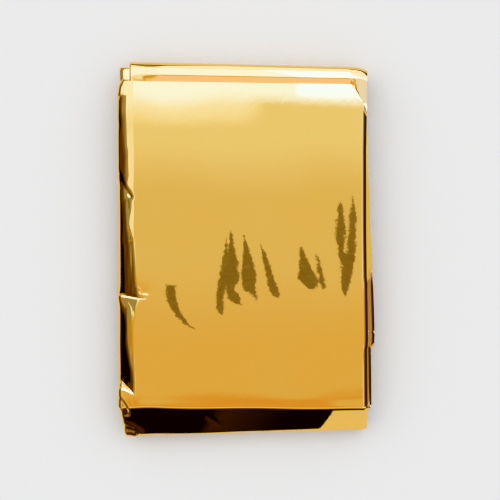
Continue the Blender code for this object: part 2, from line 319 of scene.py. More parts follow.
# The dark stands and arms over the table, as a flat face under the camera mirrors them: points down each arm,
# as X and Y from the camera's own axis, and half its width there.
ARMS = (
    ((-26.8, -11.5, 0.0), (-26.8, -11.7, 1.4), (-27.0, -14.2, 1.45), (-27.0, -17.1, 1.5),
     (-26.3, -19.8, 1.5), (-24.9, -22.4, 1.25), (-23.6, -24.1, 1.1), (-22.5, -25.1, 0.7),
     (-21.6, -25.8, 0.4), (-21.0, -26.2, 0.9), (-19.0, -27.2, 0.0)),
    ((-10.2, 4.0, 0.0), (-10.0, -4.0, 1.1), (-9.9, -10.3, 1.6), (-10.2, -14.4, 1.35),
     (-10.3, -17.4, 1.2), (-10.0, -19.7, 1.3), (-9.6, -21.4, 0.9), (-9.0, -22.4, 0.0)),
    ((-8.6, 7.0, 0.0), (-7.6, -4.0, 1.8), (-7.0, -10.3, 2.5), (-7.0, -12.4, 2.0),
     (-7.2, -13.8, 1.3), (-6.2, -16.0, 1.9), (-5.1, -17.6, 1.7), (-3.9, -18.9, 0.9),
     (-2.5, -19.6, 0.0)),
    ((-3.0, 5.0, 0.0), (-2.0, -4.0, 1.7), (-1.3, -10.6, 2.7), (-1.1, -12.8, 2.4),
     (-0.5, -14.9, 1.8), (0.8, -16.2, 0.8), (1.7, -17.4, 0.3), (1.9, -19.2, 0.0)),
    ((3.2, 2.0, 0.0), (5.0, -5.5, 1.1), (6.9, -11.9, 1.7), (7.4, -13.7, 1.75),
     (8.1, -15.4, 1.6), (9.0, -17.1, 1.0), (9.9, -18.4, 0.0)),
    ((19.6, 2.0, 0.0), (20.3, -6.0, 2.2), (20.5, -10.9, 3.4), (20.9, -12.5, 2.2),
     (21.0, -13.6, 1.2), (21.1, -14.5, 0.0)),
    ((24.5, 0.0, 0.0), (24.8, -6.7, 0.7), (24.9, -10.1, 0.9), (25.1, -12.1, 0.7),
     (24.8, -13.8, 0.0)),
    ((31.2, 16.4, 0.0), (31.3, 14.1, 0.5), (31.3, 10.5, 1.0), (31.4, 7.3, 1.3),
     (31.3, 4.2, 1.15), (31.5, 0.8, 1.0), (32.4, -1.8, 1.4), (33.7, -4.1, 2.2),
     (33.5, -5.7, 2.2), (33.2, -9.5, 1.8), (32.7, -13.1, 1.3), (32.7, -14.5, 0.6),
     (32.9, -15.6, 0.0)),
    ((33.9, 18.9, 0.0), (34.2, 13.9, 0.65), (34.2, 10.7, 0.85), (34.4, 7.4, 0.95),
     (34.4, 4.1, 1.15), (34.7, 0.8, 1.4), (34.6, -1.9, 1.75), (34.6, -3.0, 1.7),
     (34.2, -3.9, 0.8), (34.0, -5.0, 0.0)),
)
CAMERA_OVER = 468.0  # height of the camera over the face
ARM_EDGE = 0.2  # how soft the arms' edges are, and how ragged
ARM_RAGGED = 1.4
ARM_TIP = 0.02  # share of HALF_RANGE over which an arm's end fades
RAGGED_ACROSS, RAGGED_ALONG = 2.0, 14.0  # how fine that is in each direction
PLACE_RANGE, HALF_RANGE = 100, 10  # a ramp's colours hold places and half widths in these ranges
ARM_LIGHTS = ((0.34, 0.33, 0.36), (0.2, 0.14, 0.06))

# Soft rolling of the whole face: height, and how long a wave is along X and along Y, and where it starts.
WAVES = named(
    "height along_x along_y turn",
    (0.008, 61.0, 57.0, 0.4),
    (0.005, -37.0, 93.0, 2.1),
    (0.003, 27.0, -79.0, 4.0),
)

FILM = 0.34  # thickness of one film of a wad
INSET = LAYER / 2  # from a wad's mid line to its outermost film
HIDDEN = [layer.name for layer in LAYERS[3:]]

# How many columns of faces the wall, the side, the face, the rim and the brim have, from left to right.
STRIPS = (5, 25, 72, 3, 3)
FOLD_COLUMNS = 6
INNER_COLUMNS = 9
PLAIN_COLUMNS = 4  # the layers that are out of sight keep one line of points in so many
KEPT_COLUMNS = 8  # and all of those along their right edge
FOLD_STEPS = 7
MIDDLE_LEVEL = 4  # the roll's upper side lies over this level
SECOND_SHOWN = 40.0  # the second layer shows above here

# Where rows lie close together down the front, for its creases, and how far apart they are there.
FINE_ROWS = named(
    "start end step",
    (HEM, 51.2, 0.45), (51.2, 50.4, 0.2), (25.0, 15.0, 0.5), (4.0, 0.5, 0.5),
    (-13.5, -15.8, 0.45), (-15.8, -16.2, 0.2), (-16.2, -17.8, 0.09),
    (-17.8, -21.0, 0.6), (-40.0, -44.0, 0.7),
    (-44.0, -51.0, 0.4), (-51.0, -53.4, 0.35), (-53.4, -53.75, 0.2),
    (-53.75, -54.2, 0.07),
)
SECOND_ROWS = named(
    "start end step", (ROLL_START, 42.0, 0.6), (42.0, -36.0, 2.0), (-27.0, -34.0, 0.4))
PLAIN_STEP = 1.35
COVER_STEP = 4 * PLAIN_STEP  # for the rows that only say what lies over a layer
BACK_STEP = 4.5
INNER_STEP = 9.0
ROLL_FOOT = 0.3  # the second layer's flat starts so far before the roll's foot
STEP_SAMPLES = 4000

Row = namedtuple("Row", "y z turn left right part share")


def hump(share):
    """0 at both ends of the way and 1 halfway."""
    return 4 * share * (1 - share)


def eased(share):
    """A share that leaves 0 and reaches 1 gently."""
    share = np.clip(share, 0.0, 1.0)
    return share * share * (3 - 2 * share)


def past(way, start, reach):
    """0 up to start, and 1 from a reach past it on."""
    return eased((way - start) / reach)


def through(start, middle, end, share):
    """A smooth curve through three values, at a share of the way."""
    return start * (1 - share) * (1 - 2 * share) + middle * hump(share) + end * share * (2 * share - 1)


def height(level):
    """Height of a level's mid surface."""
    return LAYER / 2 + level * PITCH


def table(rows, y, column):
    """A column of a table whose rows run down Y, read at Y."""
    places = [-row.y for row in rows]
    return np.interp(-np.asarray(y, float), places, [getattr(row, column) for row in rows])


def side_edges(layer, y, share):
    """Where the layer's left and right edges lie at Y, a share of the way along it."""
    waver = EDGE_WAVER * math.sin(2 * math.pi * y / WAVER_LENGTH + WAVER_TURN * layer.level)
    if layer.name in ("front", "second"):
        right = table(RIGHT_EDGES, y, layer.name)
    else:
        right = through(layer.right_start, layer.right_mid, layer.right_end, share) - waver
    if layer.left_start is None:
        return table(SHOULDERS, y, "edge"), right
    return through(layer.left_start, layer.left_mid, layer.left_end, share) + waver, right


def spaced(start, end, step, fine=()):
    """Places from start to end, a step apart, or closer within the fine stretches."""
    ways = np.linspace(start, end, STEP_SAMPLES)
    apart = np.full(len(ways), step)
    for stretch in fine:
        apart[(ways <= stretch.start) & (ways >= stretch.end)] = stretch.step
    counted = np.concatenate([[0.0], np.cumsum(np.abs(np.diff(ways)) / apart[1:])])
    rows = max(2, round(counted[-1]))
    return np.interp(np.linspace(0, counted[-1], rows + 1), counted, ways)


def panel(layer, start, end, step, fine=(), turn=90.0):
    """Rows along the flat stretch of a layer."""
    found = []
    for y in spaced(start, end, step, fine):
        share = (y - start) / (end - start)
        found.append(Row(y, height(layer.level), turn, *side_edges(layer, y, share), layer.name, share))
    return found


def arc(middle, reach, rise, turns, steps, way=1.0):
    """Points on part of an ellipse, and their turns in degrees. way is -1 if the film's back is outside."""
    found = []
    for step in range(1, steps):
        turn = turns[0] + (turns[1] - turns[0]) * (step / steps)
        y = middle[0] + way * reach * math.cos(math.radians(turn))
        z = middle[1] + way * rise * math.sin(math.radians(turn))
        found.append((y, z, turn))
    return found


def joining(points, layer, following, part):
    """Rows at the points, on the way from a layer's end to the following one's start."""
    rows = []
    for step, (y, z, turn) in enumerate(points):
        share = (step + 1) / (len(points) + 1)
        left = layer.left_end + (following.left_start - layer.left_end) * share
        right = layer.right_end + (following.right_start - layer.right_end) * share
        rows.append(Row(y, z, turn, left, right, part, share))
    return rows


def bottom_wrap(front, back):
    """The small round of the bottom crease, the slanted face, and the way down to the back."""
    low, high = height(back.level), height(front.level)
    bend = math.radians(SLANT)
    out_y, out_z = -math.sin(bend), math.cos(bend)
    tangent = CREASE_ROUND * math.tan(bend / 2)
    toe_y = BOTTOM_END + TOE_ROUND
    toe_z = high + (-TOE_ROUND - (toe_y - BOTTOM_CREASE) * out_y) / out_z
    turn = 90.0 + SLANT
    found = arc((BOTTOM_CREASE + tangent, high - CREASE_ROUND), CREASE_ROUND, CREASE_ROUND,
                (90.0, turn), CREASE_STEPS)
    start = (BOTTOM_CREASE - tangent * math.cos(bend), high - tangent * math.sin(bend))
    end = (toe_y + TOE_ROUND * out_y, toe_z + TOE_ROUND * out_z)
    for share in np.linspace(0, 1, SLANT_ROWS):
        found.append((start[0] + (end[0] - start[0]) * share, start[1] + (end[1] - start[1]) * share, turn))
    found += arc((toe_y, toe_z), TOE_ROUND, TOE_ROUND, (turn, 180.0), TOE_STEPS)
    for share in np.linspace(0, 1, END_ROWS):
        found.append((BOTTOM_END, toe_z + (low + HEEL_ROUND - toe_z) * share, 180.0))
    found += arc((BOTTOM_END + HEEL_ROUND, low + HEEL_ROUND), HEEL_ROUND, HEEL_ROUND,
                 (180.0, 270.0), HEEL_STEPS)
    rows = []
    for step, (y, z, turned) in enumerate(found):
        share = (step + 1) / len(found)
        left = OUTLINE[-1].edge + (WRAP_LEFT - OUTLINE[-1].edge) * eased(share / TOE_SHARE)
        left += (back.left_start - WRAP_LEFT) * eased((share - TOE_SHARE) / (1 - TOE_SHARE))
        rows.append(Row(y, z, turned, left, front.right_end, "wrap", share))
    return rows, BOTTOM_CREASE + tangent


def roll_profile():
    """The upper side of the roll: places along Y, how much it tilts there, and its rise over the flat."""
    places = np.arange(ROLL_TILTS[0].y, ROLL_TILTS[-1].y, PROFILE_STEP)
    tilts = np.interp(places, [knot.y for knot in ROLL_TILTS], [knot.tilt for knot in ROLL_TILTS])
    fall = np.tan(np.radians(tilts)) * PROFILE_STEP
    return places, tilts, -np.concatenate([[0.0], np.cumsum(fall[:-1])])


def roll_top(level):
    """The upper side of the roll, from its foremost line to where it meets the flat: y, z and turn."""
    places, tilts, rises = roll_profile()
    heights = height(level) + rises
    way = np.concatenate([[0.0], np.cumsum(np.hypot(PROFILE_STEP, np.diff(heights)))])
    wanted = np.linspace(way[-1], 0.0, ROLL_ROWS)
    return [(np.interp(at, way, places), np.interp(at, way, heights), 450.0 - np.interp(at, way, tilts))
            for at in wanted]


def roll(back, second):
    """The wide turn over the top end, from the back up to the second layer."""
    low, high = height(back.level), height(second.level)
    middle = (low + high) / 2
    under = arc((ROLL_START, middle), ROLL_END - ROLL_START, middle - low, (270.0, 360.0), ROLL_STEPS)
    over = roll_top(second.level)
    upright = [(ROLL_END, middle + (over[0][1] - middle) * share, 360.0) for share in UPRIGHTS]
    return joining(under + upright + over, back, second, "roll")


def fold(layer, following):
    """The tight turn from one layer to the following one."""
    top = layer.turn > 0
    radius = PITCH / 2
    middle = (layer.turn - math.copysign(radius, layer.turn),
              (height(layer.level) + height(following.level)) / 2)
    turns = (270.0, 90.0) if top else (90.0, 270.0)
    found = arc(middle, radius, radius, turns, FOLD_STEPS, -1.0 if top else 1.0)
    return joining(found, layer, following, following.name)


def under_shoulder(row, covers):
    """The row with its left edge drawn in, to clear the turned side of the rows outside."""
    left = row.left
    for cover in covers:
        out_y, out_z = math.cos(math.radians(cover.turn)), math.sin(math.radians(cover.turn))
        along = (row.y - cover.y) * out_z - (row.z - cover.z) * out_y
        deep = (cover.y - row.y) * out_y + (cover.z - row.z) * out_z
        drop, width = shoulder(cover)
        if abs(along) < NEAR and deep > 0 and drop > 0:
            room = max(deep - SHOULDER_AIR, 0.0) / drop
            if room < 1:
                left = max(left, cover.left + width * (1 - math.sqrt(room)))
    return row._replace(left=left)


def shoulder(row):
    """How far the row's left edge is turned down, and how wide it rounds off."""
    if row.part == "front":
        return table(SHOULDERS, row.y, "drop"), table(SHOULDERS, row.y, "width")
    last = SHOULDERS[-1]
    return last.drop * (1 - row.share) + WRAP_DROP * hump(row.share), last.width


def whole_path():
    """The sheet's rows, from the front's hem to the hem inside."""
    front, back, second = LAYERS[:3]
    wrap, front_end = bottom_wrap(front, back)
    outside = panel(front, HEM, front_end, PLAIN_STEP, FINE_ROWS) + wrap
    beneath = panel(back, BOTTOM_END + HEEL_ROUND, ROLL_START, BACK_STEP, turn=270.0) + roll(back, second)
    inside = []
    start = ROLL_START
    for layer, following in zip(LAYERS[2:], LAYERS[3:]):
        end = layer.turn - math.copysign(PITCH / 2, layer.turn)
        down = end < start
        fine = SECOND_ROWS if layer.name == "second" else ()
        if layer.name == "second":
            start = ROLL_TILTS[0].y - ROLL_FOOT
        inside += panel(layer, start, end, INNER_STEP, fine, 90.0 if down else 270.0) + fold(layer, following)
        start = end
    last = LAYERS[-1]
    inside += panel(last, start, last.turn, INNER_STEP)
    covers = panel(front, HEM, front_end, COVER_STEP)
    return outside + beneath + [under_shoulder(row, covers) for row in inside]


def strip_places(rows):
    """X of the strips' borders at each row: from the left edge to the right one."""
    borders = []
    for row in rows:
        wall = table(OUTLINE, row.y, "wall") if row.part == "front" else OUTLINE[-1].wall
        if row.part == "front":
            left, inner = table(OUTLINE, row.y, "edge"), SIDE_END
        elif row.part == "wrap":
            left = row.left + INSET * row.share
            inner = SIDE_END * (1 - row.share) + (left + SIDE_WIDTH) * row.share
        else:
            left = row.left + INSET
            inner = left + SIDE_WIDTH
        borders.append([left, left + wall, inner, row.right - BRIM - RIM, row.right - BRIM, row.right])
    return np.array(borders)


def spread(borders):
    """The borders' values at every line of points across the sheet."""
    at = np.concatenate([[0], np.cumsum(STRIPS)])
    wanted = np.arange(at[-1] + 1)
    return np.array([np.interp(wanted, at, row) for row in borders])


def softened(values):
    """The values with each column drawn a little towards its neighbours, the outer two apart."""
    middle = values[:, 1:-1] * 0.5 + (values[:, :-2] + values[:, 2:]) * 0.25
    return np.concatenate([values[:, :1], middle, values[:, -1:]], axis=1)


def aslant(x, y, column):
    """A column of the turned side's table, read at points, along its rows' own slant."""
    skews = np.array([row.skew for row in SIDES])
    places = np.array([-row.y for row in SIDES]) + skews * (x[..., None] - SIDE_FOOT)
    values = np.array([getattr(row, column) for row in SIDES])
    above = np.clip((places <= -y[..., None]).sum(axis=-1) - 1, 0, len(SIDES) - 2)
    start = np.take_along_axis(places, above[..., None], axis=-1)[..., 0]
    end = np.take_along_axis(places, above[..., None] + 1, axis=-1)[..., 0]
    share = np.clip((-y - start) / (end - start), 0.0, 1.0)
    return values[above] * (1 - share) + values[above + 1] * share


def side_relief(x, y, left, wall, deep):
    """How far the turned side falls away, facet by facet and then down its wall."""
    facets = ("pale", "olive", "brown", "black")
    tilts = [np.radians(aslant(x, y, name + "_tilt")) for name in facets]
    marks = [aslant(x, y, name) for name in facets]
    # The marks are where the creases are seen, on the outside of the wad.
    outer = [0 * x, *tilts]
    marks = [mark + INSET * np.sin((one + other) / 2) for mark, one, other in zip(marks, outer, tilts)]
    shelf = np.maximum(x, left + wall)
    low = np.zeros_like(x)
    ends = [*marks[1:], np.full_like(x, -np.inf)]
    for start, end, tilt in zip(marks, ends, tilts):
        end = np.minimum(start, end)
        low += np.tan(tilt) * np.clip(start - shelf, 0.0, start - end)
    return low + np.maximum(deep - low, WALL_LEAST) * np.clip((left + wall - x) / wall, 0.0, 1.0)


def crease_relief(x, y):
    """The grooves of the sharp creases."""
    low = np.zeros_like(x)
    for crease in CREASES:
        nearest = np.full_like(x, np.inf)
        aside, way = np.zeros_like(x), np.zeros_like(x)
        whole = 0.0
        for (x0, y0), (x1, y1) in zip(crease.points, crease.points[1:]):
            length = math.dist((x0, y0), (x1, y1))
            run_x, run_y = (x1 - x0) / length, (y1 - y0) / length
            along = np.clip((x - x0) * run_x + (y - y0) * run_y, 0.0, length)
            off_x, off_y = x - x0 - along * run_x, y - y0 - along * run_y
            away = np.hypot(off_x, off_y)
            closer = away < nearest
            nearest = np.where(closer, away, nearest)
            aside = np.where(closer, np.copysign(away, run_x * off_y - run_y * off_x), aside)
            way = np.where(closer, whole + along, way)
            whole += length
        width = np.where(aside > 0, crease.left, crease.right)
        ends = eased(way / CREASE_FADE) * eased((whole - way) / CREASE_FADE)
        low += crease.depth * ends * np.clip(1 - nearest / width, 0.0, 1.0)
    return low


def ripple_relief(x, y):
    """The fine crinkle along the turned side."""
    found = np.zeros_like(x)
    for ripple in RIPPLES:
        bent = x / ripple.across + y / ripple.along + ripple.bend * np.sin(y / RIPPLE_SWAY + ripple.turn) / 2
        found += ripple.height * np.sin(2 * np.pi * bent + ripple.turn)
    return found


def blurred(values, places, reach):
    """The values, each one a mean of those around its place."""
    steps = np.abs(np.gradient(places))
    weights = np.exp(-((places[:, None] - places[None, :]) / reach) ** 2) * steps[None, :]
    return (weights @ values) / weights.sum(axis=1)


def wave_relief(x, y):
    """The soft rolling of the face."""
    found = np.zeros_like(x)
    for wave in WAVES:
        found += wave.height * np.sin(2 * np.pi * (x / wave.along_x + y / wave.along_y) + wave.turn)
    return found


def settled(points):
    """The points once the packet has swelled and leaned."""
    x, y, z = points[..., 0], points[..., 1], points[..., 2]
    share = np.zeros_like(x)
    for swell in SWELLS:
        aside, along = (x - swell.x) / swell.spread_x, (y - swell.y) / swell.spread_y
        share += swell.share * np.exp(-aside ** 2 - along ** 2)
    low = height(0)
    return np.stack([x, y + x * table(LEANS, y, "slope"), low + (z - low) * (1 + share)], axis=-1)


def flank_relief(x, y, z, borders, front, wrapped, gone):
    """How far the front and the wrap fall away: their turned side, crinkle, creases and soft rolling."""
    left, shelf = borders[:, :1], borders[:, 1:2]
    deep = np.where(front, table(OUTLINE, y, "deep"), OUTLINE[-1].deep * (1 - gone) + WRAP_DROP * hump(gone))
    side = side_relief(x, np.where(front, y, BOTTOM_CREASE), left, shelf - left, deep)
    flank = softened(np.where(front | wrapped, side, 0.0))
    on_side = eased((FACE_START - x) / RIPPLE_END) * eased((x - shelf) / SHELF_FADE)
    steep = FLAT_RIPPLE + (1 - FLAT_RIPPLE) * eased((aslant(x, y, "olive") - x) / STEEP_FADE)
    flat_end = eased((y - BOTTOM_CREASE) / CREASE_FLAT)
    flank += np.where(front, ripple_relief(x, y) * on_side * steep * flat_end, 0.0)
    flank += np.where(front | wrapped, crease_relief(x, y) * past(z, *CREASE_HEIGHT), 0.0)
    return flank - np.where(front, wave_relief(x, y) * past(x, *WAVE_START) * flat_end, 0.0)


def edge_relief(x, y, right, front, second, outside):
    """How far the outer layers' right edges are turned down: their brims, and the second layer's strip."""
    brim_width = np.where(second, BRIM * 2 / 3, BRIM)
    brim = np.clip(x - right + brim_width, 0.0, None) * BRIM_SLOPE
    brim *= 1 - np.where(front, HEM_BRIM * past(y, *HEM_BRIM_START), 0.0)
    lower = np.where(second, eased((STRIP_TOP - y) / STRIP_FADE), 1.0)
    strip = STRIP_SLOPE * np.clip(x - right + STRIP_WIDTH, 0.0, STRIP_WIDTH)
    return np.where(outside, brim, 0.0) * lower, np.where(second, strip * lower, 0.0)


def mid_surface(rows):
    """The wad's mid surface: a net of points, rows along the sheet by columns across it."""
    borders = strip_places(rows)
    x = spread(borders)
    turn = drop_turns(rows)
    y, z, gone = (np.array([[getattr(row, name)] for row in rows]) + 0 * x for name in ("y", "z", "share"))
    right = borders[:, -1:]
    front, wrapped, second, ends = (
        np.array([[row.part == part] for row in rows]) for part in ("front", "wrap", "second", "roll"))
    middle = height(MIDDLE_LEVEL)
    rolled = np.array([[row.part in ("second", "roll") and row.z > middle] for row in rows])
    drop = flank_relief(x, y, z, borders, front, wrapped, gone)
    for relief in edge_relief(x, y, right, front, second, front | wrapped | second):
        drop += relief
    drop += np.where(rolled, end_relief(x, y) + corner_relief(x, y), 0.0)
    tucked = front & (x > TUCK_START) & (y > TUCK_FADE)
    share = (x - TUCK_START) / (right - TUCK_START)
    fall = TUCK_FALL * share * (y - TUCK_FADE) / (HEM - TUCK_FADE)
    lip = HEM_LIP * past(share, *LIP_START) * (1 - past(share, *LIP_END))
    drop += np.where(tucked, lip * eased(1 - (HEM - y) / LIP_WIDTH), 0.0)
    y, z = y - drop * np.cos(turn), z - drop * np.sin(turn)
    y = y - np.where(tucked, fall, 0.0)
    start, reach = ROLL_BEND
    bent = ROLL_CORNER * np.maximum((x - start) / reach, 0.0) ** 3
    y = y - np.where(ends | rolled, bent * np.where(z > middle, past(y, *BEND_START), 1.0), 0.0)
    kept = np.where(wrapped, 1 - past(gone, *WANDER_END), np.exp(-((y - BOTTOM_CREASE) / CREASE_REACH) ** 2))
    y = y + np.where(front | wrapped, crease_wave(x) * kept, 0.0)
    return settled(np.stack([x, y, z], axis=-1)) + np.array(TO_FRAME)


def crease_wave(x):
    """How the bottom crease wanders."""
    wander = sum(bump.height * np.exp(-((x - bump.x) / bump.spread) ** 2) for bump in CREASE_BUMPS)
    sway, length, start = CREASE_SWAY
    return wander + sway * np.sin(x / length + start)


def drop_turns(rows):
    """The direction of each row's drop. It turns more gently than the sheet does at its bottom crease."""
    turn = np.radians([row.turn for row in rows])
    steps = np.hypot(np.diff([row.y for row in rows]), np.diff([row.z for row in rows]))
    way = np.concatenate([[0.0], np.cumsum(steps)])
    outside = np.array([row.part in ("front", "wrap") for row in rows])
    turn[outside] = blurred(turn[outside], way[outside], DROP_TURN_REACH)
    return turn[:, None]


def end_relief(x, y):
    """How far the roll's upper side is lower near its left end than farther on."""
    sinks = 1 - past(x, *ROLL_LEFT)
    places, _, rises = roll_profile()
    rise = np.interp(np.minimum(y, ROLL_CREST), places, rises)
    rise *= 1 - np.maximum((y - ROLL_CREST) / (ROLL_END - ROLL_CREST), 0.0) ** 2
    return sinks * rise


def corner_relief(x, y):
    """The layer that shows in the front's tucked corner rises steadily up to the roll's crest."""
    across = past(x, *CORNER)
    places, _, rises = roll_profile()
    rise = rises.max() * np.clip((y - CORNER_FOOT) / (ROLL_CREST - CORNER_FOOT), 0.0, 1.0)
    lean = CORNER_LEAN * np.maximum(x - CORNER_EDGE, 0.0) * past(y, *LEAN_START)
    return across * np.where(y < ROLL_CREST, np.interp(y, places, rises) - rise, 0.0) + lean


def unit(vectors):
    """The vectors at length 1."""
    return vectors / np.maximum(np.linalg.norm(vectors, axis=-1, keepdims=True), 1e-12)


def doubled(net):
    """The wad's two films: the outer one right to left, the fold at the left edge, and the inner one."""
    down = np.gradient(net, axis=0)
    across = np.gradient(net, axis=1)
    out = unit(np.cross(down, across))
    apart = INSET - FILM / 2
    outer = (net + apart * out)[:, ::-1]
    edge, edge_out = net[:, 0], out[:, 0]
    sideways = -unit(across[:, 0])
    columns = [outer]
    for step in range(1, FOLD_COLUMNS):
        turn = math.pi * step / FOLD_COLUMNS
        columns.append((edge + apart * (math.cos(turn) * edge_out + math.sin(turn) * sideways))[:, None])
    picked = np.unique(np.round(np.linspace(0, net.shape[1] - 1, INNER_COLUMNS + 1)).astype(int))
    columns.append((net - apart * out)[:, picked])
    return np.concatenate(columns, axis=1)


def net_mesh(name, net, plain):
    """A mesh of the net of points, in metres, with fewer columns in the plain rows."""
    rows, columns = net.shape[:2]
    made = bmesh.new()
    bmesh.ops.create_grid(made, x_segments=columns - 1, y_segments=rows - 1, size=1.0)
    places = {}
    for point in made.verts:
        column = round((point.co.x + 1) / 2 * (columns - 1))
        row = round((point.co.y + 1) / 2 * (rows - 1))
        point.co = net[row, column] * MM
        places[point] = (row, column)
    wide = columns - 1 - INNER_COLUMNS - FOLD_COLUMNS
    spare = []
    for edge in made.edges:
        (row, column), (other_row, other_column) = (places[end] for end in edge.verts)
        between = KEPT_COLUMNS < column < wide and column % PLAIN_COLUMNS
        if column == other_column and between and row in plain and other_row in plain:
            spare.append(edge)
    bmesh.ops.dissolve_edges(made, edges=spare, use_verts=True)
    bmesh.ops.recalc_face_normals(made, faces=made.faces)
    for edge in made.edges:
        edge.smooth = not edge.is_boundary
    for face in made.faces:
        face.smooth = True
    mesh = bpy.data.meshes.new(name)
    made.to_mesh(mesh)
    made.free()
    return mesh


class Shade:
    """A socket of a shader tree. Arithmetic on it adds Math nodes to that tree."""

    def __init__(self, tree, socket=None):
        self.tree, self.socket = tree, socket

    def node(self, kind, settings=None, inputs=None, output=0):
        """Adds a node: its settings first, and then the values or links of its sockets."""
        made = self.tree.nodes.new(kind)
        for name, value in (settings or {}).items():
            if name == "stops":
                ramp = made.color_ramp
                while len(ramp.elements) < len(value):
                    ramp.elements.new(1.0)
                for stop, (place, colour) in zip(ramp.elements, value):
                    stop.position, stop.color = place, colour
            else:
                setattr(made, name, value)
        for name, value in (inputs or {}).items():
            if isinstance(value, Shade):
                self.tree.links.new(value.socket, made.inputs[name])
            else:
                made.inputs[name].default_value = value
        return Shade(self.tree, made.outputs[output]) if made.outputs else made

    def others(self, names):
        """The named sockets of this one's node."""
        return (Shade(self.tree, self.socket.node.outputs[name]) for name in names)

    def maths(self, operation, *values):
        """A Math node's result."""
        return self.node("ShaderNodeMath", {"operation": operation}, dict(enumerate(values)))

    def __add__(self, other):
        return self.maths("ADD", self, other)

    __radd__ = __add__

    def __sub__(self, other):
        return self.maths("SUBTRACT", self, other)

    def __rsub__(self, other):
        return self.maths("SUBTRACT", other, self)

    def __mul__(self, other):
        return self.maths("MULTIPLY", self, other)

    __rmul__ = __mul__

    def rise(self, start, end):
        """0 before start and 1 past end, gently."""
        return self.node("ShaderNodeMapRange", {"interpolation_type": "SMOOTHSTEP"},
                         {"Value": self, "From Min": start, "From Max": end})

    def mixed(self, colour, other):
        """The first colour where this is 0, and the other where it is 1."""
        ends = [end if isinstance(end, Shade) else (*end, 1.0) for end in (colour, other)]
        return self.node("ShaderNodeMix", {"data_type": "RGBA"}, {0: self, 6: ends[0], 7: ends[1]}, 2)


# What the film mirrors, by direction. Each zone covers those before it. south and north are its limits in
# degrees from straight up, towards the packet's foot and its top, west and east the same to its left and
# right, and edge is how softly it ends.
ZONES = named(
    "name south north west east edge light",
    ("ceiling", -33, 78, -17, 75, 3.0, (0.8, 0.8, 0.82)),
    ("warm half", -34, -2.2, -17, 75, 4.0, (0.79, 0.69, 0.58)),
    ("orange foot", -34, -6.12, -17, 75, 0.5, (0.76, 0.51, 0.34)),
    ("bright half", 3.5, 80, -17, 75, 3.0, (0.92, 1.03, 1.3)),
    ("left brown", -62, 80, -62, -17, 3.0, (0.11, 0.06, 0.08)),
    ("left umber", -62, 80, -46, -17, 4.0, (0.17, 0.12, 0.11)),
    ("left olive", -62, 80, -36, -17, 4.0, (0.27, 0.25, 0.22)),
    ("left pale olive", -62, 80, -29, -15, 3.0, (0.4, 0.43, 0.55)),
    ("left low", -6.2, -2.4, -32, -17, 0.8, (0.5, 0.4, 0.27)),
    ("right wall", -62, 80, 36, 90, 8.0, (0.05, 0.03, 0.06)),
    ("right orange", -62, 60, 14, 34, 3.0, (0.5, 0.4, 0.5)),
    ("roll foot", -11, -4.5, -15, -7.0, 1.2, (1.15, 1.05, 1.3)),
    ("right corner", -1.4, 6.4, 6.6, 17, 1.2, (0.95, 1.2, 2.8)),
    ("roll corner", -26, -5, 6.6, 17, 1.2, (0.95, 1.15, 2.4)),
    ("warm foot", -21, -9.5, -14, 6.6, 1.2, (1.58, 1.36, 1.65)),
    ("left strip", -0.5, 5.2, -12.6, -8.0, 1.6, (1.5, 1.75, 2.6)),
    ("left low strip", -60, -2, -17, -9, 3.0, (0.68, 0.54, 0.36)),
    ("left glow", 5.7, 52, -13, 0, 1.3, (1.95, 2.4, 3.8)),
    ("left box", 6.2, 9.5, -13, 0, 0.7, (2.0, 2.7, 5.2)),
    ("roll box", 8.5, 52, -14, 0, 1.2, (2.2, 3.2, 8.0)),
    ("soft box", 6.3, 52, -8, 13, 0.7, (2.2, 3.3, 8.8)),
    ("soft box right", 6.45, 52, 2, 13, 0.4, (3.4, 5.8, 21.0)),
    ("roll end", 9, 52, 12, 32, 3.0, (1.8, 2.5, 6.0)),
    ("back wall", 56, 100, -12, 45, 6.0, (1.95, 2.7, 5.6)),
    ("low glow", -65.5, -34, -40, 9, 4.0, (0.42, 0.33, 0.22)),
    ("floor glow left", -110, -62, -75, -32, 5.0, (0.17, 0.1, 0.1)),
    ("floor glow right", -83.5, -62, -2, 60, 8.0, (0.06, 0.032, 0.07)),
    ("far corner right", -76, -45, 52, 88, 6.0, (0.95, 0.88, 0.84)),
    ("far corner left", 42, 76, -88, -46, 6.0, (0.95, 0.88, 0.84)),
)
ROOM = (0.006, 0.003, 0.003)  # in every other direction
BACKDROP = (2.4, 2.4, 2.4)
# The light on matt things: from above, from past the packet's top, and from everywhere.
DOME_UP, DOME_NORTH, DOME_LEAST = 0.8, 0.6, 0.3
DOME_EDGE = (-0.2, 0.8)  # where the light from past the top sets in, and where it is whole


def zone_light(zone, along, across, colour):
    """The colour with a zone's light over it."""
    half = zone.edge / 2
    inside = (along.rise(zone.south - half, zone.south + half)
              * (1 - along.rise(zone.north - half, zone.north + half))
              * across.rise(zone.west - half, zone.west + half)
              * (1 - across.rise(zone.east - half, zone.east + half)))
    return inside.mixed(colour, zone.light)


